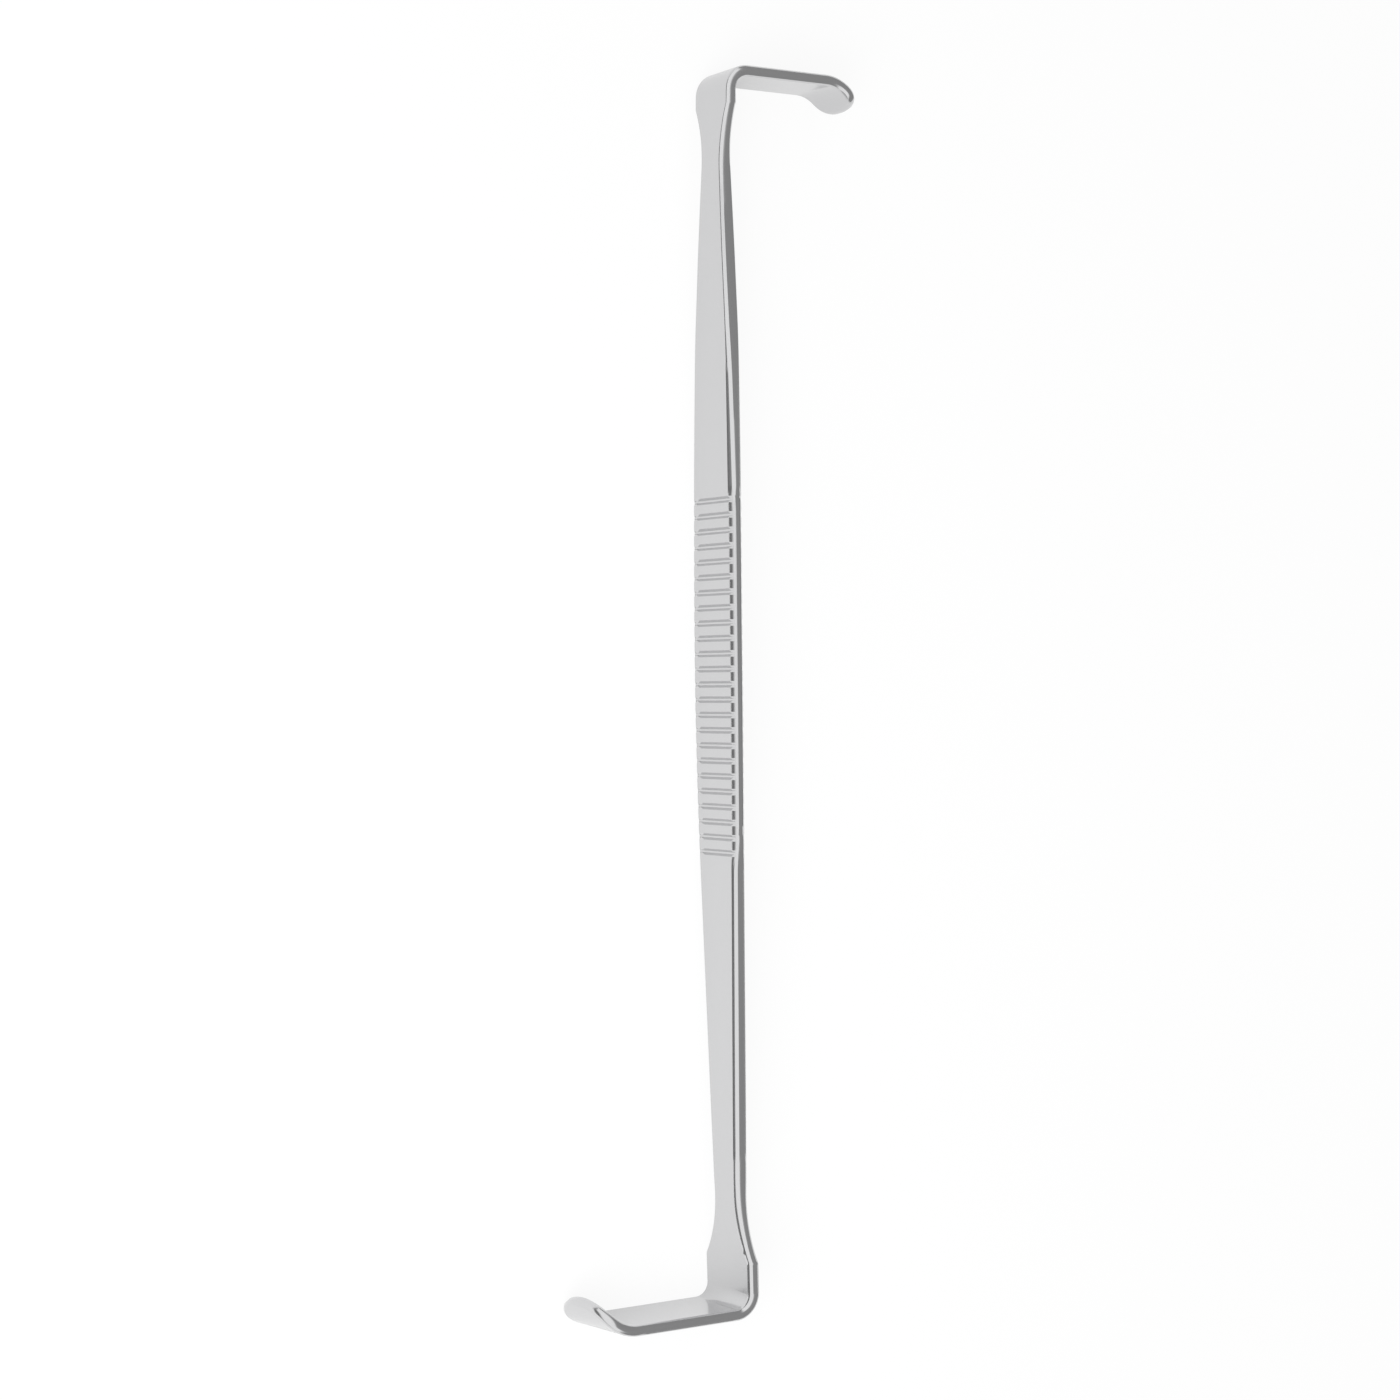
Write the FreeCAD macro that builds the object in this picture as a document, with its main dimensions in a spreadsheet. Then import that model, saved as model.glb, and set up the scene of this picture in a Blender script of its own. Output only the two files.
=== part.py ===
import FreeCAD, Part
import math
import os
import Sketcher

# A double-ended hand retractor: one bar of stainless steel, flat and slightly bowed, with a
# blade turned square to the handle at each end and a curled lip on each blade. It lies on its
# side. X runs along the handle, Y through its thickness (the front face looks along -Y) and
# Z across its width.

# alias, value in mm or degrees, what it is
sizeTable = [
    ("overallLength", 152.05, "outer face of one blade to outer face of the other"),
    ("bowOffset", 3.8, "top of the bow past mid-length, towards the large end"),
    ("bowRadius", 1600.0, "bend of the handle's mid-plane at the grip"),
    ("bowAngle", 1.4, "turn from one straight arm to the other"),
    ("handleThickness", 1.85, "flat bar between the two thinned ends"),
    ("bellyWidth", 9.14, "handle at its widest"),
    ("bellyOffset", 9.2, "widest place past the bow's top, towards the small end"),
    ("cornerRadius", 0.7, "outline corner where neck meets blade"),
    ("edgeRadius", 0.55, "rounding of every long edge"),
    ("edgeShare", 0.46, "largest share of the thinnest wall that one rounding takes"),
    ("trimMargin", 1.5, "blank left round the outlines and cut off by them"),
    ("grooveCount", 24, "grooves on each face of the grip"),
    ("groovePitch", 1.865, "groove to groove along the bow"),
    ("grooveWidth", 0.54, "V groove at the face"),
    ("grooveDepth", 0.28, "V groove below the face"),
    ("grooveOffset", 5.55, "middle of the grooves past the bow's top, towards the small end"),
    ("smallBladeWidth", 7.72, "blade of the small end"),
    ("smallBladeThickness", 1.37, "blade of the small end"),
    ("smallRootThickness", 1.42, "bar where it runs into the bend of the small end"),
    ("smallBladeLength", 13.9, "handle's mid-plane to the start of the lip"),
    ("smallThinning", 17.6, "outer face of the blade to where the bar starts to thin"),
    ("smallInnerBend", 1.7, "inside radius, handle to blade"),
    ("smallOuterBend", 3.2, "outside radius, handle to blade"),
    ("smallLipRadius", 4.15, "inside radius of the lip"),
    ("smallLipAngle", 59.0, "turn of the lip"),
    ("smallLipLength", 5.75, "lip from its start to its tip, on the mid-surface"),
    ("smallTipRadius", 6.0, "end arc of the lip in plan"),
    ("smallTipCorner", 2.0, "corner arcs of the lip in plan"),
    ("smallShoulder", 4.6, "outer face of the blade to the outline corner"),
    ("smallNeckWidth", 4.72, "narrowest place"),
    ("smallFlareRadius", 15.4, "hollow arc between neck and blade"),
    ("smallHipPlace", 32.1, "outline corner back to the start of the hip arc"),
    ("smallHipRadius", 150.0, "arc from the belly into the straight side"),
    ("smallBellyRadius", 1150.0, "side arc of the grip"),
    ("largeBladeWidth", 10.35, "blade of the large end"),
    ("largeBladeThickness", 1.34, "blade of the large end"),
    ("largeRootThickness", 1.55, "bar where it runs into the bend of the large end"),
    ("largeBladeLength", 16.5, "handle's mid-plane to the start of the lip"),
    ("largeThinning", 16.4, "outer face of the blade to where the bar starts to thin"),
    ("largeInnerBend", 1.7, "inside radius, handle to blade"),
    ("largeOuterBend", 3.2, "outside radius, handle to blade"),
    ("largeLipRadius", 4.55, "inside radius of the lip"),
    ("largeLipAngle", 60.0, "turn of the lip"),
    ("largeLipLength", 6.8, "lip from its start to its tip, on the mid-surface"),
    ("largeTipRadius", 7.2, "end arc of the lip in plan"),
    ("largeTipCorner", 3.4, "corner arcs of the lip in plan"),
    ("largeShoulder", 6.5, "outer face of the blade to the outline corner"),
    ("largeNeckWidth", 5.17, "narrowest place"),
    ("largeFlareRadius", 13.0, "hollow arc between neck and blade"),
    ("largeHipPlace", 53.6, "outline corner back to the start of the hip arc"),
    ("largeHipRadius", 200.0, "arc from the belly into the straight side"),
    ("largeBellyRadius", 800.0, "side arc of the grip"),
]

doc = FreeCAD.newDocument("retractor")
sheet = doc.addObject("Spreadsheet::Sheet", "sizes")
for row, (alias, value, note) in enumerate(sizeTable, start=1):
    sheet.set(f"A{row}", alias)
    sheet.set(f"B{row}", str(value))
    sheet.setAlias(f"B{row}", alias)
    sheet.set(f"C{row}", note)
doc.recompute()

# expressions and values that several sketches share
widest = "max(sizes.smallBladeWidth; sizes.largeBladeWidth; sizes.bellyWidth)"
thinnest = ("min(sizes.smallBladeThickness; sizes.smallRootThickness; sizes.largeBladeThickness;"
            " sizes.largeRootThickness; sizes.handleThickness)")
armDrop = "sizes.bowRadius * (1 / cos(sizes.bowAngle * 1deg / 2) - 1)"
armRoot = "sizes.bowRadius * tan(sizes.bowAngle * 1deg / 2)"
armDirection = {"small": "180 - sizes.bowAngle / 2", "large": "sizes.bowAngle / 2"}
armLength = {"small": "sizes.overallLength / 2 + sizes.bowOffset",
             "large": "sizes.overallLength / 2 - sizes.bowOffset"}
outward = {"small": -1, "large": 1}


def lipTail(end):
    # straight stretch that is left of the lip past its bend
    return (f"sizes.{end}LipLength"
            f" - (sizes.{end}LipRadius + sizes.{end}BladeThickness / 2) * sizes.{end}LipAngle * pi / 180")


def read(alias):
    return float(sheet.get(alias))


def widestValue():
    return max(read("smallBladeWidth"), read("largeBladeWidth"), read("bellyWidth"))


def armLengthValue(end):
    return read("overallLength") / 2 - outward[end] * read("bowOffset")


def lipTailValue(end):
    bend = read(end + "LipRadius") + read(end + "BladeThickness") / 2
    return read(end + "LipLength") - bend * math.radians(read(end + "LipAngle"))


def point(x, y):
    return FreeCAD.Vector(x, y, 0)


def arc(centre, radius, startAngle, endAngle):
    circle = Part.Circle(centre, FreeCAD.Vector(0, 0, 1), radius)
    return Part.ArcOfCircle(circle, math.radians(startAngle), math.radians(endAngle))


def originPlane(body, role):
    return next(item for item in body.Origin.OriginFeatures if item.Role == role)


def newSketch(body, name, role):
    sketch = body.newObject("Sketcher::SketchObject", name)
    sketch.AttachmentSupport = [(originPlane(body, role), "")]
    sketch.MapMode = "FlatFace"
    return sketch


def relate(sketch, kind, *places):
    sketch.addConstraint(Sketcher.Constraint(kind, *places))


def bind(sketch, expression, kind, *places):
    index = sketch.addConstraint(Sketcher.Constraint(kind, *places))
    sketch.setExpression(f"Constraints[{index}]", expression)


def closeLoop(sketch, loop, smooth):
    # loop holds (geometry, first end, last end) in order; smooth holds the tangent pairs
    for index, (element, first, last) in enumerate(loop):
        following, start, end = loop[(index + 1) % len(loop)]
        tangent = (element, following) in smooth or (following, element) in smooth
        relate(sketch, "Tangent" if tangent else "Coincident", element, last, following, start)


def pad(body, sketch, name):
    # blanks are wider than the finished outline by the trim margin on each side
    feature = body.newObject("PartDesign::Pad", name)
    feature.Profile = sketch
    feature.Midplane = True
    feature.setExpression("Length", f"{widest} + 2 * sizes.trimMargin")
    doc.recompute()


def pocket(body, sketch, name, length=None):
    before = body.Shape.Volume
    feature = body.newObject("PartDesign::Pocket", name)
    feature.Profile = sketch
    if length:
        feature.setExpression("Length", length)
    else:
        feature.Type = "ThroughAll"
        feature.Midplane = True
    doc.recompute()
    if body.Shape.Volume >= before:
        raise RuntimeError(f"{name} cuts nothing")
    return feature


def bowProfile(body):
    # the bent stretch between the two arms, a slice of a very large ring
    half = read("bowAngle") / 2
    radius = read("bowRadius")
    outer = radius + read("handleThickness") / 2
    inner = radius - read("handleThickness") / 2
    middle = point(0, radius)
    first, last = -90 - half, -90 + half
    sketch = newSketch(body, "bowProfile", "XY_Plane")
    front = sketch.addGeometry(arc(middle, outer, first, last))
    back = sketch.addGeometry(arc(middle, inner, first, last))
    for angle, side in ((first, 1), (last, 2)):
        ray = point(math.cos(math.radians(angle)), math.sin(math.radians(angle)))
        line = sketch.addGeometry(Part.LineSegment(middle + ray * inner, middle + ray * outer))
        relate(sketch, "Coincident", line, 1, back, side)
        relate(sketch, "Coincident", line, 2, front, side)
        relate(sketch, "PointOnObject", front, 3, line)
    relate(sketch, "Coincident", front, 3, back, 3)
    relate(sketch, "PointOnObject", front, 3, -2)
    relate(sketch, "Symmetric", front, 1, front, 2, -2)
    bind(sketch, "sizes.bowRadius", "DistanceY", -1, 1, front, 3, radius)
    bind(sketch, "sizes.bowRadius + sizes.handleThickness / 2", "Radius", front, outer)
    bind(sketch, "sizes.bowRadius - sizes.handleThickness / 2", "Radius", back, inner)
    # the slice ends where the arms, tangent to it, begin
    bind(sketch, f"2 * sizes.bowRadius * sin(sizes.bowAngle * 1deg / 2)"
                 f" + sizes.handleThickness * sin(sizes.bowAngle * 1deg / 2)",
         "DistanceX", front, 1, front, 2, 2 * outer * math.sin(math.radians(half)))
    return sketch


def armProfile(body, end):
    # drawn in the arm's own frame: x out along the straight arm, blade towards -y
    half = math.radians(read("bowAngle") / 2)
    root = read("bowRadius") * math.tan(half)
    halfBar = read("handleThickness") / 2
    reach = armLengthValue(end)
    thickness, rootThickness = read(end + "BladeThickness"), read(end + "RootThickness")
    length = read(end + "BladeLength")
    innerBend, outerBend = read(end + "InnerBend"), read(end + "OuterBend")
    lip, turn = read(end + "LipRadius"), read(end + "LipAngle")
    tail = lipTailValue(end) + read("trimMargin")
    thin = reach - read(end + "Thinning")

    sketch = newSketch(body, end + "ArmProfile", "XY_Plane")
    turned = math.degrees(half) if end == "large" else 180 - math.degrees(half)
    drop = read("bowRadius") * (1 / math.cos(half) - 1)
    rotation = FreeCAD.Rotation(FreeCAD.Vector(0, 0, 1), turned)
    sketch.AttachmentOffset = FreeCAD.Placement(point(0, -drop), rotation)
    sketch.setExpression(".AttachmentOffset.Base.y", f"-({armDrop})")
    sketch.setExpression(".AttachmentOffset.Rotation.Angle", armDirection[end])

    def line(first, last):
        return sketch.addGeometry(Part.LineSegment(first, last))

    def bend(centre, radius, startAngle, endAngle):
        return sketch.addGeometry(arc(centre, radius, startAngle, endAngle))

    bladeFace = reach - thickness
    lipCentre = point(bladeFace - lip, -length)
    square = point(math.cos(math.radians(turn)), -math.sin(math.radians(turn)))
    alongTail = point(square.y, -square.x) * tail
    innerTailStart, outerTailStart = lipCentre + square * lip, lipCentre + square * (lip + thickness)
    outerCentre = point(reach - outerBend, rootThickness / 2 - outerBend)
    innerCentre = point(bladeFace - innerBend, -rootThickness / 2 - innerBend)
    # how far each thinning face leans in, to run straight into its bend
    toOuter, toInner = outerCentre - point(thin, halfBar), innerCentre - point(thin, -halfBar)
    outerLean = math.atan2(-toOuter.y, toOuter.x) - math.asin(outerBend / toOuter.Length)
    innerLean = math.asin(innerBend / toInner.Length) - math.atan2(-toInner.y, toInner.x)
    outerTouch = outerCentre + point(math.sin(outerLean), math.cos(outerLean)) * outerBend
    innerTouch = innerCentre + point(-math.sin(innerLean), math.cos(innerLean)) * innerBend

    outerBar = line(point(root, halfBar), point(thin, halfBar))
    outerThinning = line(point(thin, halfBar), outerTouch)
    outerTurn = bend(outerCentre, outerBend, 0, 90 - math.degrees(outerLean))
    outerBlade = line(point(reach, outerCentre.y), point(reach, -length))
    outerLip = bend(lipCentre, lip + thickness, -turn, 0)
    outerTail = line(outerTailStart, outerTailStart + alongTail)
    cap = line(outerTailStart + alongTail, innerTailStart + alongTail)
    innerTail = line(innerTailStart + alongTail, innerTailStart)
    innerLip = bend(lipCentre, lip, -turn, 0)
    innerBlade = line(point(bladeFace, -length), point(bladeFace, innerCentre.y))
    innerTurn = bend(innerCentre, innerBend, 0, 90 + math.degrees(innerLean))
    innerThinning = line(innerTouch, point(thin, -halfBar))
    innerBar = line(point(thin, -halfBar), point(root, -halfBar))
    joint = line(point(root, -halfBar), point(root, halfBar))

    loop = [(outerBar, 1, 2), (outerThinning, 1, 2), (outerTurn, 2, 1), (outerBlade, 1, 2), (outerLip, 2, 1),
            (outerTail, 1, 2), (cap, 1, 2), (innerTail, 1, 2), (innerLip, 1, 2), (innerBlade, 1, 2),
            (innerTurn, 1, 2), (innerThinning, 1, 2), (innerBar, 1, 2), (joint, 1, 2)]
    outside = [outerThinning, outerTurn, outerBlade, outerLip, outerTail]
    inside = [innerTail, innerLip, innerBlade, innerTurn, innerThinning]
    closeLoop(sketch, loop, set(zip(outside, outside[1:])) | set(zip(inside, inside[1:])))
    for element in (outerBar, innerBar):
        relate(sketch, "Horizontal", element)
    for element in (outerBlade, innerBlade, joint):
        relate(sketch, "Vertical", element)
    relate(sketch, "Vertical", outerBar, 2, innerBar, 1)
    relate(sketch, "Coincident", innerLip, 3, outerLip, 3)
    relate(sketch, "Perpendicular", cap, outerTail)
    relate(sketch, "Parallel", innerTail, outerTail)

    bind(sketch, "sizes.handleThickness / 2", "DistanceY", -1, 1, outerBar, 1, halfBar)
    bind(sketch, "sizes.handleThickness / 2", "DistanceY", innerBar, 2, -1, 1, halfBar)
    bind(sketch, armRoot, "DistanceX", -1, 1, outerBar, 1, root)
    bind(sketch, f"{armLength[end]} - sizes.{end}Thinning", "DistanceX", -1, 1, outerBar, 2, thin)
    bind(sketch, f"sizes.{end}OuterBend - sizes.{end}RootThickness / 2", "DistanceY",
         outerTurn, 3, -1, 1, -outerCentre.y)
    bind(sketch, f"sizes.{end}InnerBend + sizes.{end}RootThickness / 2", "DistanceY",
         innerTurn, 3, -1, 1, -innerCentre.y)
    bind(sketch, armLength[end], "DistanceX", -1, 1, outerBlade, 2, reach)
    bind(sketch, f"sizes.{end}BladeThickness", "DistanceX", innerBlade, 1, outerBlade, 2, thickness)
    bind(sketch, f"sizes.{end}BladeLength", "DistanceY", outerBlade, 2, -1, 1, length)
    bind(sketch, f"sizes.{end}OuterBend", "Radius", outerTurn, outerBend)
    bind(sketch, f"sizes.{end}InnerBend", "Radius", innerTurn, innerBend)
    bind(sketch, f"sizes.{end}LipRadius", "Radius", innerLip, lip)
    bind(sketch, f"sizes.{end}LipAngle * 1deg", "Angle", outerLip, math.radians(turn))
    bind(sketch, f"{lipTail(end)} + sizes.trimMargin", "Distance", outerTail, tail)
    return sketch


def outlineSide(end, apex):
    # places one end's chain: belly arc, hip arc, straight shank, hollow flare, corner
    bellyHalf = read("bellyWidth") / 2
    neckHalf = read(end + "NeckWidth") / 2
    bladeHalf = read(end + "BladeWidth") / 2
    belly, hip = read(end + "BellyRadius"), read(end + "HipRadius")
    flare, corner = read(end + "FlareRadius"), read("cornerRadius")
    shoulder = armLengthValue(end) - read(end + "Shoulder")
    rise = math.acos(1 - (bladeHalf - neckHalf) / (flare + corner))
    start = math.asin((shoulder - read(end + "HipPlace") - apex) / belly)
    hipStart = point(apex + belly * math.sin(start), bellyHalf - belly * (1 - math.cos(start)))
    hipCentre = hipStart - point(math.sin(start), math.cos(start)) * hip
    flareCentre = point(shoulder - (flare + corner) * math.sin(rise), neckHalf + flare)
    # the shank is the line that touches the hip arc from above and the flare arc from below
    between = flareCentre - hipCentre
    taper = math.asin((hip + flare) / between.Length) - math.atan2(between.y, between.x)
    square = point(math.sin(taper), math.cos(taper))
    return dict(start=math.degrees(start), taper=math.degrees(taper), rise=math.degrees(rise),
                hipCentre=hipCentre, hipEnd=hipCentre + square * hip,
                flareStart=flareCentre - square * flare, flareCentre=flareCentre,
                cornerCentre=point(shoulder, bladeHalf - corner), shoulder=point(shoulder, bladeHalf))


def outlineProfile(body):
    # what lies outside one long side of the outline, seen square to the front face
    sketch = newSketch(body, "outline", "XZ_Plane")
    apex = -read("bellyOffset")
    bellyHalf, margin = read("bellyWidth") / 2, read("trimMargin")
    far = widestValue() / 2 + 2 * margin

    def flip(vector, sign):
        return point(sign * vector.x, vector.y)

    def turnedArc(centre, radius, middle, spread):
        return sketch.addGeometry(arc(centre, radius, middle - spread, middle + spread))

    def line(first, last):
        return sketch.addGeometry(Part.LineSegment(first, last))

    sides = {}
    for end, sign in outward.items():
        side = outlineSide(end, sign * apex)
        belly, hip = read(end + "BellyRadius"), read(end + "HipRadius")
        flare, corner = read(end + "FlareRadius"), read("cornerRadius")
        start, taper, rise = side["start"], side["taper"], side["rise"]
        outside = sign * (armLengthValue(end) + margin)
        sides[end] = dict(
            belly=turnedArc(point(apex, bellyHalf - belly), belly, 90 - sign * start / 2, start / 2),
            hip=turnedArc(flip(side["hipCentre"], sign), hip, 90 - sign * (start + taper) / 2, (taper - start) / 2),
            shank=line(flip(side["hipEnd"], sign), flip(side["flareStart"], sign)),
            flare=turnedArc(flip(side["flareCentre"], sign), flare, 270 + sign * (rise - taper) / 2,
                            (rise + taper) / 2),
            corner=turnedArc(flip(side["cornerCentre"], sign), corner, 90 + sign * rise / 2, rise / 2),
            blade=line(flip(side["shoulder"], sign), point(outside, side["shoulder"].y)),
            end=line(point(outside, side["shoulder"].y), point(outside, far)))
    small, large = sides["small"], sides["large"]
    top = line(point(-armLengthValue("small") - margin, far), point(armLengthValue("large") + margin, far))

    # arcs run counter-clockwise, so on the large side some are walked from their last end
    loop = [(small["end"], 1, 2), (top, 1, 2), (large["end"], 2, 1), (large["blade"], 2, 1),
            (large["corner"], 1, 2), (large["flare"], 2, 1), (large["shank"], 2, 1), (large["hip"], 1, 2),
            (large["belly"], 1, 2), (small["belly"], 1, 2), (small["hip"], 1, 2), (small["shank"], 1, 2),
            (small["flare"], 2, 1), (small["corner"], 1, 2), (small["blade"], 1, 2)]
    smooth = {(large["belly"], small["belly"])}
    for names in (small, large):
        chain = [names[key] for key in ("belly", "hip", "shank", "flare", "corner", "blade")]
        smooth |= set(zip(chain, chain[1:]))
    closeLoop(sketch, loop, smooth)
    relate(sketch, "Vertical", large["belly"], 2, large["belly"], 3)
    relate(sketch, "Horizontal", top)
    bind(sketch, "sizes.bellyOffset", "DistanceX", large["belly"], 2, -1, 1, -apex)
    bind(sketch, "sizes.bellyWidth / 2", "DistanceY", -1, 1, large["belly"], 2, bellyHalf)
    bind(sketch, f"{widest} / 2 + 2 * sizes.trimMargin", "DistanceY", -1, 1, top, 1, far)
    for end, names in sides.items():
        relate(sketch, "Horizontal", names["blade"])
        relate(sketch, "Vertical", names["end"])
        reach = armLengthValue(end)
        hipPlace = (names["hip"], 1) if end == "small" else (names["hip"], 2)
        for place, origin, distance, expression in (
                ((names["blade"], 1), (-1, 1), reach - read(end + "Shoulder"),
                 f"{armLength[end]} - sizes.{end}Shoulder"),
                ((names["blade"], 2), (-1, 1), reach + margin, f"{armLength[end]} + sizes.trimMargin"),
                ((names["blade"], 1), hipPlace, read(end + "HipPlace"), f"sizes.{end}HipPlace")):
            first, last = (origin, place)[::outward[end]]
            bind(sketch, expression, "DistanceX", *first, *last, distance)
        bladeHalf, neckHalf = read(end + "BladeWidth") / 2, read(end + "NeckWidth") / 2
        bind(sketch, f"sizes.{end}BladeWidth / 2", "DistanceY", -1, 1, names["blade"], 1, bladeHalf)
        bind(sketch, f"sizes.{end}NeckWidth / 2 + sizes.{end}FlareRadius", "DistanceY", -1, 1,
             names["flare"], 3, neckHalf + read(end + "FlareRadius"))
        for key, alias in (("belly", end + "BellyRadius"), ("hip", end + "HipRadius"),
                           ("flare", end + "FlareRadius"), ("corner", "cornerRadius")):
            bind(sketch, f"sizes.{alias}", "Radius", names[key], read(alias))
    return sketch


def tipProfile(body, end):
    # what lies outside the lip's rounded end, drawn square to its straight tail, with the
    # origin at the centre of the lip's bend and x towards the tip
    halfWidth, margin = read(end + "BladeWidth") / 2, read("trimMargin")
    tipArc, corner = read(end + "TipRadius"), read(end + "TipCorner")
    tip = lipTailValue(end)

    sketch = newSketch(body, end + "TipProfile", "XZ_Plane")
    alongArm = f"({armLength[end]} - sizes.{end}BladeThickness - sizes.{end}LipRadius)"
    side = f"sizes.{end}BladeLength"
    angle = f"({armDirection[end]}) * 1deg"
    sketch.AttachmentOffset = FreeCAD.Placement(point(0, 0), FreeCAD.Rotation(FreeCAD.Vector(0, 1, 0), 90))
    sketch.setExpression(".AttachmentOffset.Base.x", f"{alongArm} * cos({angle}) + {side} * sin({angle})")
    sketch.setExpression(".AttachmentOffset.Base.z",
                         f"{armDrop} - {alongArm} * sin({angle}) + {side} * cos({angle})")
    sketch.setExpression(".AttachmentOffset.Rotation.Angle", f"{armDirection[end]} + 270 - sizes.{end}LipAngle")

    # a corner arc meets the end arc where both point the same way
    middle = tip - tipArc
    spread = math.asin((halfWidth - corner) / (tipArc - corner))
    cornerX = middle + (tipArc - corner) * math.cos(spread)
    spreadDegrees = math.degrees(spread)
    upper = sketch.addGeometry(arc(point(cornerX, halfWidth - corner), corner, spreadDegrees, 90))
    nose = sketch.addGeometry(arc(point(middle, 0), tipArc, -spreadDegrees, spreadDegrees))
    lower = sketch.addGeometry(arc(point(cornerX, corner - halfWidth), corner, -90, -spreadDegrees))
    outside, far = halfWidth + margin, tip + 2 * margin
    corners = [point(cornerX, -halfWidth), point(cornerX, -outside), point(far, -outside), point(far, outside),
               point(cornerX, outside), point(cornerX, halfWidth)]
    box = [sketch.addGeometry(Part.LineSegment(*pair)) for pair in zip(corners, corners[1:])]
    loop = [(upper, 2, 1), (nose, 2, 1), (lower, 2, 1)] + [(line, 1, 2) for line in box]
    closeLoop(sketch, loop, {(upper, nose), (nose, lower)})
    for line, kind in zip(box[:2] + box[3:], ("Vertical", "Horizontal", "Horizontal", "Vertical")):
        relate(sketch, kind, line)
    relate(sketch, "Vertical", upper, 3, upper, 2)
    relate(sketch, "Vertical", lower, 3, lower, 1)
    relate(sketch, "Symmetric", upper, 3, lower, 3, -1)
    relate(sketch, "Equal", upper, lower)
    relate(sketch, "Symmetric", box[1], 2, box[2], 2, -1)
    bind(sketch, f"sizes.{end}TipCorner", "Radius", upper, corner)
    bind(sketch, f"sizes.{end}TipRadius", "Radius", nose, tipArc)
    bind(sketch, f"sizes.{end}BladeWidth / 2", "DistanceY", -1, 1, upper, 2, halfWidth)
    bind(sketch, f"sizes.{end}TipRadius - ({lipTail(end)})", "DistanceX", nose, 3, -1, 1, -middle)
    bind(sketch, f"{lipTail(end)} + 2 * sizes.trimMargin", "DistanceX", -1, 1, box[2], 1, far)
    bind(sketch, f"sizes.{end}BladeWidth / 2 + sizes.trimMargin", "DistanceY", -1, 1, box[2], 2, outside)
    return sketch


def runsAcross(face):
    # true of the faces that the side profile made: they stand parallel to the width
    surface = face.Surface
    if isinstance(surface, Part.Plane):
        return abs(surface.Axis.z) < 0.01
    return isinstance(surface, Part.Cylinder) and abs(surface.Axis.z) > 0.99


def longEdges(shape):
    names = []
    for index, edge in enumerate(shape.Edges, start=1):
        kinds = [runsAcross(face) for face in shape.ancestorsOfType(edge, Part.Face)]
        if kinds.count(True) == 1 and kinds.count(False) == 1:
            names.append(f"Edge{index}")
    return names


def grooveProfile(body):
    # the first V groove of each face; the sketch's origin is the centre of the bow
    radius, halfBar = read("bowRadius"), read("handleThickness") / 2
    width, depth = read("grooveWidth"), read("grooveDepth")
    span = (read("grooveCount") - 1) * read("groovePitch")
    lead = (read("grooveOffset") + span / 2) / radius
    sketch = newSketch(body, "grooveProfile", "XY_Plane")
    sketch.AttachmentOffset = FreeCAD.Placement(point(0, radius), FreeCAD.Rotation())
    sketch.setExpression(".AttachmentOffset.Base.y", "sizes.bowRadius")
    ray = point(-math.sin(lead), -math.cos(lead))
    acrossRay = point(math.cos(lead), -math.sin(lead))
    middle = sketch.addGeometry(Part.LineSegment(point(0, 0), ray * (radius + halfBar - depth)), True)
    relate(sketch, "Coincident", middle, 1, -1, 1)
    bind(sketch, "-90deg - (sizes.grooveOffset + (sizes.grooveCount - 1) * sizes.groovePitch / 2)"
                 " / sizes.bowRadius * 180deg / pi",
         "Angle", -1, 1, middle, 1, -math.pi / 2 - lead)
    # each V is drawn to twice its depth, so that it reaches well clear of the face
    for side, sign in ((1, "+"), (-1, "-")):
        face = radius + side * halfBar
        bottom, mouth = ray * (face - side * depth), ray * (face + side * depth)
        corners = [bottom, mouth + acrossRay * width, mouth - acrossRay * width, bottom]
        wallA, top, wallB = [sketch.addGeometry(Part.LineSegment(*pair)) for pair in zip(corners, corners[1:])]
        closeLoop(sketch, [(wallA, 1, 2), (top, 1, 2), (wallB, 1, 2)], set())
        relate(sketch, *(("Coincident", wallA, 1, middle, 2) if side == 1
                         else ("PointOnObject", wallA, 1, middle)))
        relate(sketch, "Symmetric", top, 1, top, 2, middle)
        back = "-" if side == 1 else "+"
        bind(sketch, f"sizes.bowRadius {sign} sizes.handleThickness / 2 {back} sizes.grooveDepth",
             "Distance", -1, 1, wallA, 1, face - side * depth)
        bind(sketch, f"sizes.bowRadius {sign} sizes.handleThickness / 2 {sign} sizes.grooveDepth",
             "Distance", -1, 1, top, face + side * depth)
        bind(sketch, "2 * sizes.grooveWidth", "Distance", top, 2 * width)
    return sketch


body = doc.addObject("PartDesign::Body", "retractor")
body.Label = "retractor"

# bent blank: the bow and the two arms with their blades and lips
pad(body, bowProfile(body), "bow")
for end in outward:
    pad(body, armProfile(body, end), end + "Arm")

# front outline, both sides of it
outlineCut = pocket(body, outlineProfile(body), "outlineCut")
mirrored = body.newObject("PartDesign::Mirrored", "outlineCutMirrored")
mirrored.Originals = [outlineCut]
mirrored.MirrorPlane = (originPlane(body, "XY_Plane"), [""])
body.Tip = mirrored
doc.recompute()

# rounded ends of the lips
for end in outward:
    pocket(body, tipProfile(body, end), end + "TipCut",
           f"sizes.{end}LipRadius + sizes.{end}BladeThickness + sizes.trimMargin")

# round long edges
base = body.Tip
rounding = body.newObject("PartDesign::Fillet", "roundedEdges")
rounding.Base = (base, longEdges(base.Shape))
rounding.setExpression("Radius", f"min(sizes.edgeRadius; sizes.edgeShare * {thinnest})")
doc.recompute()

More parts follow.
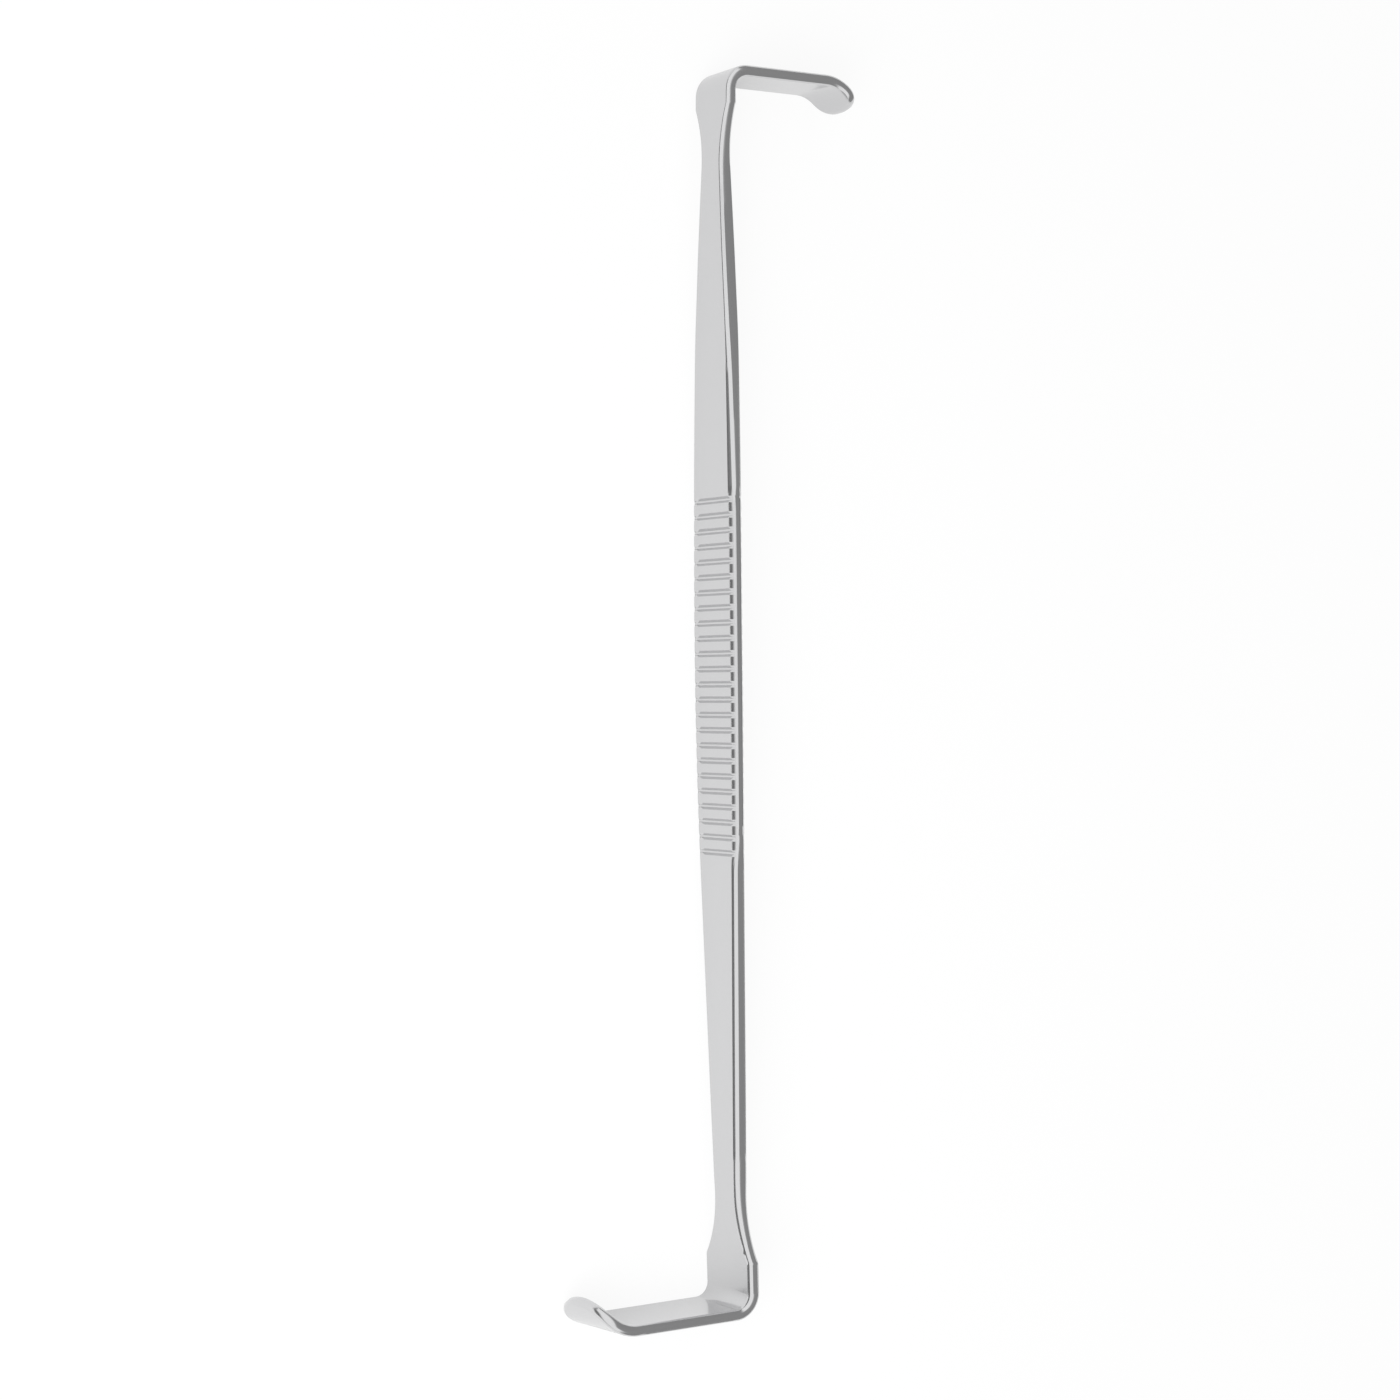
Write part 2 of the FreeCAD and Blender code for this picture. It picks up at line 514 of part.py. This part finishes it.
# grooved grip
profile = grooveProfile(body)
firstGroove = pocket(body, profile, "firstGroove")
grooves = body.newObject("PartDesign::PolarPattern", "grooves")
grooves.Originals = [firstGroove]
grooves.Axis = (profile, ["N_Axis"])
grooves.setExpression("Occurrences", "sizes.grooveCount")
grooves.setExpression("Angle", "(sizes.grooveCount - 1) * sizes.groovePitch / sizes.bowRadius * 180 / pi")
body.Tip = grooves
doc.recompute()

# the origin is under the middle of the lying instrument, on the surface that it lies on
box = body.Shape.optimalBoundingBox(False, False)
body.Placement.Base = FreeCAD.Vector(-box.Center.x, -box.Center.y, -box.ZMin)
doc.recompute()

failed = [item.Name for item in doc.Objects if {"Invalid", "Error"} & set(item.State)]
if failed or body.Shape.isNull() or not body.Shape.isValid():
    raise RuntimeError(f"the document did not build: {failed}")
os.makedirs("parts", exist_ok=True)
body.Shape.exportStep(f"parts/{body.Label}.step")
box = body.Shape.optimalBoundingBox(False, False)
print(f"{body.Label}: {len(body.Shape.Solids)} solid, {body.Shape.Volume:.1f} mm3,"
      f" {box.XLength:.2f} x {box.YLength:.2f} x {box.ZLength:.2f} mm")
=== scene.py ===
import math

import bpy
from mathutils import Matrix, Vector


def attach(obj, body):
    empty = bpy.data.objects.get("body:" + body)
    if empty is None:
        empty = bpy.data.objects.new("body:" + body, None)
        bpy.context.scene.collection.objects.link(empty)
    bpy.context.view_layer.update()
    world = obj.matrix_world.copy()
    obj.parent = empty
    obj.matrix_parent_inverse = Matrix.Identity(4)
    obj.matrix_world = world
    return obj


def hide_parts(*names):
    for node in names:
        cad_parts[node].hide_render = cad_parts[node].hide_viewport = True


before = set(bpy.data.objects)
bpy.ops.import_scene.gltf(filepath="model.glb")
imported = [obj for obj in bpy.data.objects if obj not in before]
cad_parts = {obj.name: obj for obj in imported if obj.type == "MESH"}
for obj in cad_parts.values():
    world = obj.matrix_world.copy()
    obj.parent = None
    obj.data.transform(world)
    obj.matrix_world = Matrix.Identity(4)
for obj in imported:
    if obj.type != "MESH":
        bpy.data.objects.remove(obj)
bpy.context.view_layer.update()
mm = 0.001


def fromHex(code):
    # sRGB hex to the linear colour that Blender wants
    channels = [int(code[i:i + 2], 16) / 255 for i in (1, 3, 5)]
    return tuple(c / 12.92 if c <= 0.04045 else ((c + 0.055) / 1.055) ** 2.4 for c in channels) + (1.0,)


def addNode(tree, kind, settings=None, links=None):
    # settings are the node's own or an input's value; an input goes by its name or number
    node = tree.nodes.new(kind)
    for name, value in (settings or {}).items():
        if isinstance(name, int) or name in node.inputs:
            node.inputs[name].default_value = value
        else:
            setattr(node, name, value)
    for name, source in (links or {}).items():
        tree.links.new(source, node.inputs[name])
    return node


def newMaterial(name):
    material = bpy.data.materials.new(name)
    material.use_nodes = True
    material.node_tree.nodes.clear()
    return material, material.node_tree


def selectWhere(test):
    # in edit mode: only the vertices that pass the test end up selected
    bpy.ops.mesh.select_mode(type="VERT")
    bpy.ops.mesh.select_all(action="DESELECT")
    bpy.ops.object.mode_set(mode="OBJECT")
    for vertex in bpy.context.object.data.vertices:
        vertex.select = test(vertex.co)
    bpy.ops.object.mode_set(mode="EDIT")


def applyModifier(kind, **settings):
    obj = bpy.context.object
    modifier = obj.modifiers.new(kind.title(), kind)
    for name, value in settings.items():
        setattr(modifier, name, value)
    bpy.ops.object.modifier_apply(modifier=modifier.name)


# the steel bar, in mm and degrees; along the bar, places count from the top of its bow
bar = {
    "bowRadius": 1600, "bowTurn": 1.4, "bowPlace": (3.684, 0.855, 5.175), "bend": 2.45,
    "thickness": 1.86, "bellyHalf": 4.57, "bellyPlace": -9.2, "corner": 0.7, "smoothBelow": 21,
    # the ground edge from the flank to the face: how wide each strip is and how far it leans from the
    # face; the second is the bright ridge and the last but one is the dark strip beside the face
    "edgeStrips": [(0.05, 76), (0.37, 62), (0.05, 49), (0.3, 35), (0.05, 17)],
    # places along the bar, with how thick it is there
    "thicknesses": [(-95, 1.37), (-80.5, 1.39), (-76.7, 1.46), (-71.2, 1.56), (-67.2, 1.76),
                    (-62.2, 1.88), (-57.2, 1.96), (-31.2, 1.94), (-21.2, 1.88), (19, 1.86), (46.8, 1.94),
                    (55.8, 1.92), (60.8, 1.76), (64.8, 1.65), (69.1, 1.62), (73.2, 1.38), (95, 1.34)],
    # the dark strip's width
    "faceStrips": [(-80, 0.3), (-76, 0.15), (-48, 0.15), (-42, 0.32), (-28.5, 0.55), (-26, 0.73),
                   (15, 0.7), (18, 0.32), (56, 0.32), (61, 0.42), (63, 0.42), (66, 0.3)],
    # how much narrower the bright ridge is in the grip, where the flank comes up to it, and how far
    # above the flank its lower edge is looked for
    "ridgeCuts": [(-28.5, 0), (-27, 0.19), (16, 0.17), (18, 0)],
    "ridgeFoot": 0.2,
    # how far the flank stands back from the ridge, so that the ridge stands steeper
    "flankSteps": [(-70, 0), (-65, 0.12), (-54, 0.1), (-46, 0.03), (-40, 0)],
    "grooves": 24, "groovePitch": 1.865, "grooveWidth": 0.8, "grooveFloor": 0.22, "grooveDepth": 0.33,
    "groovesMiddle": -5.55,
    # how far apart the outline is drawn: on straight parts, over the flare and round its corner, and
    # in the bend and the lip's roll as a share of the radius
    "straightStep": 1.5, "flareReach": 12, "flareStep": 0.5, "cornerReach": 1, "cornerStep": 0.12,
    "bendStep": 0.07, "rollStep": 0.04, "noseSteps": 16,
    "small": {"arm": 79.825, "bladeThickness": 1.37, "bladeDepth": 13.9, "bladeHalf": 3.92,
              "lipBend": 4.84, "lipTurn": 59.5, "lipLength": 5.76, "noseLength": 2.72, "noseShape": 2.41,
              "shoulder": 4.6, "neckHalf": 2.41, "flare": 15.4, "belly": 1150, "hip": 150,
              "hipPlace": 32.1},
    "large": {"arm": 72.225, "bladeThickness": 1.34, "bladeDepth": 16.5, "bladeHalf": 5.17,
              "lipBend": 5.25, "lipTurn": 60, "lipLength": 6.87, "noseLength": 3.85, "noseShape": 1.93,
              "shoulder": 6.5, "neckHalf": 2.635, "flare": 13, "belly": 800, "hip": 200,
              "hipPlace": 53.6, "lipSkew": -5.7, "skewRoot": 0.6},
}
bowHalfTurn = math.radians(bar["bowTurn"] / 2)
ends = {"small": -1, "large": 1}  # which way along X each arm runs
hair = 0.01  # mm, less than any real distance on the bar


def groovePlaces():
    first = bar["groovesMiddle"] - (bar["grooves"] - 1) * bar["groovePitch"] / 2
    return [first + index * bar["groovePitch"] for index in range(bar["grooves"])]


def sideSteps(end):
    # half the bow, arm, bend, blade, the lip's roll and its straight end, from the bow's top to a tip:
    # a number is a straight length, a pair is (radius, turn)
    side = bar[end]
    straightFrom = bar["bowRadius"] * math.tan(bowHalfTurn)
    arm = side["arm"] - side["bladeThickness"] / 2 - bar["bend"] - straightFrom
    tail = side["lipLength"] - math.radians(side["lipTurn"]) * side["lipBend"]
    return [(bar["bowRadius"], ends[end] * bar["bowTurn"] / 2), arm, (bar["bend"], -90),
            side["bladeDepth"] - bar["bend"], (side["lipBend"], -side["lipTurn"]), tail]


def stepLength(step):
    return step[0] * math.radians(abs(step[1])) if isinstance(step, tuple) else step


def lengthOf(end, steps=None):
    # how long an arm's first steps are together, or all of them
    return sum(stepLength(step) for step in sideSteps(end)[:steps])


def walk(place, heading, step):
    # where a step ends, and the centre that a bend turns about
    if not isinstance(step, tuple):
        return place + Vector((math.cos(heading), math.sin(heading), 0)) * step, heading, None
    radius, turn = step
    sideways = Vector((-math.sin(heading), math.cos(heading), 0)) * math.copysign(radius, turn)
    centre = place + sideways
    place = centre + Matrix.Rotation(math.radians(turn), 3, "Z") @ -sideways
    return place, heading + math.radians(turn), centre


def drawSideLine():
    # the middle of the bar's thickness seen from the side, from the small tip to the large tip
    outward = sideSteps("small")
    inward = [(step[0], -step[1]) if isinstance(step, tuple) else step for step in reversed(outward)]
    place, heading = Vector((0, 0, 0)), math.pi
    for step in outward:
        place, heading, centre = walk(place, heading, step)
    heading += math.pi
    bpy.ops.object.select_all(action="DESELECT")
    bpy.ops.mesh.primitive_plane_add(size=mm)
    line = bpy.context.object
    bpy.ops.object.mode_set(mode="EDIT")
    bpy.ops.mesh.select_all(action="SELECT")
    bpy.ops.mesh.merge(type="CENTER")
    bpy.ops.transform.translate(value=place * mm)
    for step in inward + sideSteps("large"):
        start = place
        place, heading, centre = walk(place, heading, step)
        if centre:
            bpy.ops.mesh.spin(steps=max(10, round(abs(step[1]) / 3)), angle=math.radians(step[1]),
                              center=centre * mm, axis=(0, 0, -1))
        else:
            bpy.ops.mesh.extrude_region_move(TRANSFORM_OT_translate={"value": (place - start) * mm})
    bpy.ops.object.mode_set(mode="OBJECT")
    bpy.ops.object.convert(target="CURVE")
    return line


def outlineHalf(end, along):
    # half width at a distance from the bow's top: belly, hip, straight shank, hollow flare, blade
    side = bar[end]
    apex = ends[end] * bar["bellyPlace"]
    shoulder = side["arm"] - side["shoulder"]
    reachOut = side["flare"] + bar["corner"]
    rise = math.acos(1 - (side["bladeHalf"] - side["neckHalf"]) / reachOut)
    neck = shoulder - reachOut * math.sin(rise)
    hipPlace = shoulder - side["hipPlace"]
    start = math.asin((hipPlace - apex) / side["belly"])
    bellyCentre = bar["bellyHalf"] - side["belly"]
    hipCentre = Vector((hipPlace - side["hip"] * math.sin(start),
                        bellyCentre + (side["belly"] - side["hip"]) * math.cos(start)))
    between = Vector((neck, side["neckHalf"] + side["flare"])) - hipCentre
    taper = math.asin((side["hip"] + side["flare"]) / between.length) - math.atan2(between.y, between.x)
    hipEnd = hipCentre + Vector((math.sin(taper), math.cos(taper))) * side["hip"]
    if along < hipPlace:
        return bellyCentre + math.sqrt(side["belly"] ** 2 - (along - apex) ** 2)
    if along < hipEnd.x:
        return hipCentre.y + math.sqrt(side["hip"] ** 2 - (along - hipCentre.x) ** 2)
    if along < neck - side["flare"] * math.sin(taper):
        return hipEnd.y - (along - hipEnd.x) * math.tan(taper)
    if along < neck + side["flare"] * math.sin(rise):
        return side["neckHalf"] + side["flare"] - math.sqrt(side["flare"] ** 2 - (along - neck) ** 2)
    if along < shoulder:
        return side["bladeHalf"] - bar["corner"] + math.sqrt(bar["corner"] ** 2 - (along - shoulder) ** 2)
    return side["bladeHalf"]


def outlineStations(end):
    # (distance, half width) from the bow's top to one tip, close together where the outline or
    # the side line turns and at the grooves
    side = bar[end]
    shoulder = side["arm"] - side["shoulder"]
    places = {0.0}

    def spread(first, last, step):
        count = max(1, round((last - first) / step))
        places.update(first + (last - first) * index / count for index in range(count + 1))

    flareStart, cornerStart = shoulder - bar["flareReach"], shoulder - bar["cornerReach"]
    bendStart, bladeStart, rollStart, rollEnd = (lengthOf(end, steps) for steps in (2, 3, 4, 5))
    spread(0, flareStart, bar["straightStep"])
    spread(flareStart, cornerStart, bar["flareStep"])
    spread(cornerStart, shoulder, bar["cornerStep"])
    spread(bendStart, bladeStart, bar["bend"] * bar["bendStep"])
    spread(bladeStart, rollStart, bar["straightStep"])
    spread(rollStart, rollEnd, side["lipBend"] * bar["rollStep"])
    nose = lengthOf(end) - side["noseLength"]
    places = {place for place in places if place <= nose}
    # in the grip only the edges of the grooves and of their floors count
    grooves = [ends[end] * place for place in groovePlaces()]
    gripMargin = bar["groovePitch"] * 0.6
    places = {place for place in places if min(abs(place - groove) for groove in grooves) >= gripMargin}
    edge, floor = bar["grooveWidth"] / 2, bar["grooveFloor"] / 2
    for groove in grooves:
        places.update(groove + offset for offset in (-edge, -floor, floor, edge) if groove + offset > 0)
    stations = [(place, outlineHalf(end, place)) for place in sorted(places)]
    # the nose is a superellipse
    power = 2 / side["noseShape"]
    for index in range(bar["noseSteps"]):
        angle = math.pi / 2 * (1 - index / bar["noseSteps"])
        stations.append((nose + side["noseLength"] * math.cos(angle) ** power,
                         side["bladeHalf"] * math.sin(angle) ** power))
    return stations


def readAlong(name, along):
    # a value given at places along the bar, in straight steps between them
    places = bar[name]
    for (first, before), (last, after) in zip(places, places[1:]):
        if along <= last:
            return before + (after - before) * max(0, (along - first) / (last - first))
    return places[-1][1]


def makeFlatBar():
    # the bar as a flat blank on X, its width along Z, extruded station by station from the bow's top;
    # the plane that it starts from reaches 1 mm to each side
    bpy.ops.object.select_all(action="DESELECT")
    bpy.ops.mesh.primitive_plane_add(size=2 * mm)
    bpy.context.object.name = "retractorBar"
    bpy.ops.object.mode_set(mode="EDIT")
    bpy.ops.mesh.select_all(action="SELECT")
    stations = {end: outlineStations(end) for end in ends}
    first = {end: next(item for item in stations[end] if item[0] > 0) for end in ends}
    bpy.ops.transform.rotate(value=math.pi / 2, orient_axis="X", center_override=(0, 0, 0))
    for end, sign in ends.items():
        selectWhere(lambda co: co.x * sign > 0)
        place, half = first[end]
        bpy.ops.transform.translate(value=((place - 1) * sign * mm, 0, 0))
        bpy.ops.transform.resize(value=(1, 1, half), center_override=(place * sign * mm, 0, 0))
        for reached, width in stations[end]:
            if reached <= place:
                continue
            bpy.ops.mesh.extrude_region_move(
                TRANSFORM_OT_translate={"value": ((reached - place) * sign * mm, 0, 0)})
            bpy.ops.transform.resize(value=(1, 1, width / half), center_override=(reached * sign * mm, 0, 0))
            place, half = reached, width
    bpy.ops.object.mode_set(mode="OBJECT")
    print("flat blank extruded,", len(bpy.context.object.data.vertices) // 2, "stations")
    return [(place * sign, half) for end, sign in ends.items() for place, half in stations[end]
            if 0 < place < lengthOf(end) - bar[end]["noseLength"] + hair]


def thickenBar(stations):
    # the edge is built strip by strip with insets, and the back mirrors the front
    bpy.ops.object.mode_set(mode="EDIT")
    bpy.ops.mesh.select_all(action="SELECT")
    bpy.ops.mesh.normals_make_consistent(inside=False)
    half = bar["thickness"] / 2
    flank = half - sum(width * math.sin(math.radians(lean)) for width, lean in bar["edgeStrips"])
    bpy.ops.mesh.inset(thickness=0.001 * mm, depth=flank * mm)
    for width, lean in bar["edgeStrips"]:
        lean = math.radians(lean)
        bpy.ops.mesh.inset(thickness=width * math.cos(lean) * mm, depth=width * math.sin(lean) * mm)
    bpy.ops.object.mode_set(mode="OBJECT")
    print("thickened, edges ground")
    # station by station, the strips are made wider or narrower, then grooves and thickness are set
    faceWidth, faceLean = bar["edgeStrips"][-2][0], math.radians(bar["edgeStrips"][-2][1])
    ridgeLean = math.radians(bar["edgeStrips"][1][1])
    faceStripMiddle = half - faceWidth * math.sin(faceLean) / 2
    bpy.ops.object.mode_set(mode="EDIT")
    stations = [(-math.inf, 0)] + sorted(stations) + [(math.inf, 0)]
    for (before, _), (place, outer), (after, _) in zip(stations, stations[1:], stations[2:]):
        # insets move vertices a little along the bar, so each belongs to the station nearest to it
        first, last = (before + place) / 2, (place + after) / 2
        near = lambda co: first < co.x / mm <= last
        # the dark strip beside the face grows outwards and down, and takes all below it along
        wider = readAlong("faceStrips", place) - faceWidth
        selectWhere(lambda co: near(co) and hair < co.y / mm < faceStripMiddle)
        bpy.ops.transform.translate(value=(0, -wider * math.sin(faceLean) * mm, 0))
        selectWhere(lambda co: near(co) and co.y / mm < faceStripMiddle)
        spread = 1 + wider * math.cos(faceLean) / outer
        bpy.ops.transform.resize(value=(1, 1, spread), center_override=(place * mm, 0, 0))
        # the bright ridge is cut from below, and the flank stands back under it
        ridgeCut = readAlong("ridgeCuts", place)
        ridgeFoot = flank + bar["ridgeFoot"] - wider * math.sin(faceLean)
        selectWhere(lambda co: near(co) and hair < co.y / mm < ridgeFoot)
        bpy.ops.transform.translate(value=(0, ridgeCut * math.sin(ridgeLean) * mm, 0))
        selectWhere(lambda co: near(co) and co.y / mm < ridgeFoot)
        inward = 1 - (readAlong("flankSteps", place) + ridgeCut * math.cos(ridgeLean)) / outer
        bpy.ops.transform.resize(value=(1, 1, inward), center_override=(place * mm, 0, 0))
        thickness = readAlong("thicknesses", place) / bar["thickness"]
        if any(abs(place - groove) < bar["grooveFloor"] / 2 + hair for groove in groovePlaces()):
            selectWhere(lambda co: near(co) and co.y / mm > faceStripMiddle)
            bpy.ops.transform.translate(value=(0, -bar["grooveDepth"] / thickness * mm, 0))
        selectWhere(near)
        bpy.ops.transform.resize(value=(1, thickness, 1), center_override=(place * mm, 0, 0))
    bpy.ops.object.mode_set(mode="OBJECT")
    applyModifier("MIRROR", use_axis=(False, True, False), merge_threshold=hair / 2 * mm)
    print("strip widths, grooves and thickness set")


def turnLargeLip(angle, pivot, axis):
    # the lip's vertices are kept in a vertex group
    bpy.ops.object.mode_set(mode="EDIT")
    bpy.ops.mesh.select_all(action="DESELECT")
    bpy.context.object.vertex_groups.active = bpy.context.object.vertex_groups["largeLip"]
    bpy.ops.object.vertex_group_select()
    bpy.ops.transform.rotate(value=angle, orient_axis=axis, center_override=pivot)
    bpy.ops.object.mode_set(mode="OBJECT")


def bendBar(sideLine):
    # the Curve modifier lays X along the side line, whose start is the small tip
    obj = bpy.context.object
    # the large lip was bent a little askew: its blank is turned in plan first and turned back when bent
    skew = math.radians(bar["large"]["lipSkew"])
    lipSteps = 4  # from this step on, the large arm is lip
    lipStart = lengthOf("large", lipSteps)
    bpy.ops.object.mode_set(mode="EDIT")
    selectWhere(lambda co: co.x / mm > lipStart - bar["large"]["skewRoot"])
    bpy.ops.object.vertex_group_assign_new()
    obj.vertex_groups[-1].name = "largeLip"
    bpy.ops.object.mode_set(mode="OBJECT")
    turnLargeLip(skew, (lipStart * mm, 0, 0), "Y")
    bpy.ops.object.mode_set(mode="EDIT")
    bpy.ops.mesh.select_all(action="SELECT")
    bpy.ops.transform.translate(value=(lengthOf("small") * mm, 0, 0))
    bpy.ops.object.mode_set(mode="OBJECT")
    applyModifier("CURVE", object=sideLine, deform_axis="POS_X")
    bpy.data.objects.remove(sideLine)
    place, heading = Vector((0, 0, 0)), 0
    for step in sideSteps("large")[:lipSteps]:
        place, heading, centre = walk(place, heading, step)
    turnLargeLip(-skew, place * mm, "X")
    bpy.ops.object.mode_set(mode="EDIT")
    bpy.ops.mesh.select_all(action="SELECT")
    bpy.ops.transform.translate(value=Vector(bar["bowPlace"]) * mm)
    bpy.ops.mesh.normals_make_consistent(inside=False)
    bpy.ops.object.mode_set(mode="OBJECT")
    bpy.ops.object.shade_smooth_by_angle(angle=math.radians(bar["smoothBelow"]))
    applyModifier("WEIGHTED_NORMAL", keep_sharp=True)
    print("bent to its side line")
    return obj


# real satin grinding, a twentieth of a millimetre, would not show, so the grain is about 0.3 mm
steel = {
    "colour": "#CFCFD0", "grainsPerMetre": 3500.0, "grainDetail": 3.0, "smoothest": 0.13,
    "roughest": 0.19, "bumpStrength": 0.05, "bumpHeight": 0.02,
}


def stainlessSteel():
    # satin-ground stainless steel: a soft, pale grey mirror with a fine grain
    material, tree = newMaterial("satinStainlessSteel")
    place = addNode(tree, "ShaderNodeTexCoord")
    grain = addNode(tree, "ShaderNodeTexNoise",
                    {"Scale": steel["grainsPerMetre"], "Detail": steel["grainDetail"]},
                    {"Vector": place.outputs["Object"]})
    rough = addNode(tree, "ShaderNodeMapRange",
                    {"To Min": steel["smoothest"], "To Max": steel["roughest"]},
                    {"Value": grain.outputs["Fac"]})
    bump = addNode(tree, "ShaderNodeBump",
                   {"Strength": steel["bumpStrength"], "Distance": steel["bumpHeight"] * mm},
                   {"Height": grain.outputs["Fac"]})
    shader = addNode(tree, "ShaderNodeBsdfPrincipled",
                     {"Base Color": fromHex(steel["colour"]), "Metallic": 1.0},
                     {"Roughness": rough.outputs["Result"], "Normal": bump.outputs["Normal"]})
    addNode(tree, "ShaderNodeOutputMaterial", links={"Surface": shader.outputs["BSDF"]})
    return material


sideLine = drawSideLine()
stations = makeFlatBar()
thickenBar(stations)
steelBar = bendBar(sideLine)
steelBar.data.materials.append(stainlessSteel())
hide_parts("retractor")
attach(steelBar, "root")


# the studio: camera, white table, lamp and room; lens, distance and aim in mm, other lengths in metres
studio = {
    "lens": 78.66, "distance": 373.64, "elevation": 58.82, "twist": 1.026,
    "aim": (0.949, -1.133, 3.974), "clipStart": 0.01,
    "tableSize": 3.0, "tableColour": "#E0E0E0", "cameraGlow": 0.9, "glossyGlow": 0.6,
    "lampPower": 0.9, "lampSize": 0.2, "lampPlace": (0.09, -0.2, 0.22),
    # angles up from the horizon in front, between which the soft light comes in and goes out
    "softLightFrom": (15, 27), "softLightTo": (102, 114),
    "frontStrength": 0.2, "softLightStrength": 1.12, "backStrength": 0.34,
}


def placeCamera():
    # the bar lies across the picture's height, small end up
    elevation, twist = math.radians(studio["elevation"]), math.radians(studio["twist"])
    back = Vector((-math.cos(elevation) * math.sin(twist), -math.cos(elevation) * math.cos(twist),
                   math.sin(elevation)))
    up = Vector((-math.cos(twist), math.sin(twist), 0))
    right = up.cross(back)
    place = (Vector(studio["aim"]) + back * studio["distance"]) * mm
    turn = Matrix((right, up, back)).transposed().to_euler()
    bpy.ops.object.camera_add(location=place, rotation=turn)
    camera = bpy.context.object
    camera.data.lens = studio["lens"]
    camera.data.clip_start = studio["clipStart"]
    bpy.context.scene.camera = camera


def whiteTable():
    # matt white paper: it keeps the bar's soft shadow, and looks nearly white to the camera and the steel
    material, tree = newMaterial("mattWhitePaper")
    rays = addNode(tree, "ShaderNodeLightPath")
    toCamera = addNode(tree, "ShaderNodeMath", {"operation": "MULTIPLY", 1: studio["cameraGlow"]},
                       {0: rays.outputs["Is Camera Ray"]})
    toSteel = addNode(tree, "ShaderNodeMath", {"operation": "MULTIPLY", 1: studio["glossyGlow"]},
                      {0: rays.outputs["Is Glossy Ray"]})
    share = addNode(tree, "ShaderNodeMath", {"operation": "MAXIMUM"},
                    {0: toCamera.outputs["Value"], 1: toSteel.outputs["Value"]})
    matt = addNode(tree, "ShaderNodeBsdfDiffuse", {"Color": fromHex(studio["tableColour"])})
    glow = addNode(tree, "ShaderNodeEmission", {"Color": (1, 1, 1, 1), "Strength": 1.0})
    mixed = addNode(tree, "ShaderNodeMixShader", links={
        "Fac": share.outputs["Value"], 1: matt.outputs["BSDF"], 2: glow.outputs["Emission"]})
    addNode(tree, "ShaderNodeOutputMaterial", links={"Surface": mixed.outputs["Shader"]})
    bpy.ops.mesh.primitive_plane_add(size=studio["tableSize"])
    table = bpy.context.object
    table.name = "table"
    table.data.materials.append(material)


def placeLamp():
    # it lights the table, and the steel mirrors the room alone
    bpy.ops.object.light_add(type="AREA", location=studio["lampPlace"])
    lamp = bpy.context.object
    lamp.data.energy = studio["lampPower"]
    lamp.data.size = studio["lampSize"]
    lamp.visible_glossy = False
    lamp.rotation_euler = (-Vector(studio["lampPlace"])).to_track_quat("-Z", "Y").to_euler()


def lightRoom():
    # the room that the steel sees, by the angle up from the horizon in front, over the top and down
    # behind: a dark strip, then a wide soft light, then a dim back
    world = bpy.data.worlds.new("studioRoom")
    bpy.context.scene.world = world
    world.use_nodes = True
    tree = world.node_tree
    tree.nodes.clear()
    way = addNode(tree, "ShaderNodeTexCoord")
    split = addNode(tree, "ShaderNodeSeparateXYZ", links={"Vector": way.outputs["Generated"]})
    front = addNode(tree, "ShaderNodeMath", {"operation": "MULTIPLY", 1: -1}, {0: split.outputs["Y"]})
    angle = addNode(tree, "ShaderNodeMath", {"operation": "ARCTAN2"},
                    {0: split.outputs["Z"], 1: front.outputs["Value"]})
    strength = studio["softLightStrength"]
    low, high = (math.radians(value) for value in studio["softLightFrom"])
    rise = addNode(tree, "ShaderNodeMapRange", {
        "From Min": low, "From Max": high, "To Min": studio["frontStrength"], "To Max": strength},
        {"Value": angle.outputs["Value"]})
    low, high = (math.radians(value) for value in studio["softLightTo"])
    fall = addNode(tree, "ShaderNodeMapRange", {
        "From Min": low, "From Max": high, "To Min": 1.0, "To Max": studio["backStrength"] / strength},
        {"Value": angle.outputs["Value"]})
    room = addNode(tree, "ShaderNodeMath", {"operation": "MULTIPLY"},
                   {0: rise.outputs["Result"], 1: fall.outputs["Result"]})
    # the camera itself sees plain white
    rays = addNode(tree, "ShaderNodeLightPath")
    seen = addNode(tree, "ShaderNodeMix", {"data_type": "FLOAT", 3: 1.0},
                   {"Factor": rays.outputs["Is Camera Ray"], 2: room.outputs["Value"]})
    light = addNode(tree, "ShaderNodeBackground", {"Color": (1, 1, 1, 1)}, {"Strength": seen.outputs[0]})
    addNode(tree, "ShaderNodeOutputWorld", links={"Surface": light.outputs["Background"]})


placeCamera()
whiteTable()
placeLamp()
lightRoom()
bpy.context.scene.view_settings.view_transform = "Standard"
print("studio ready")
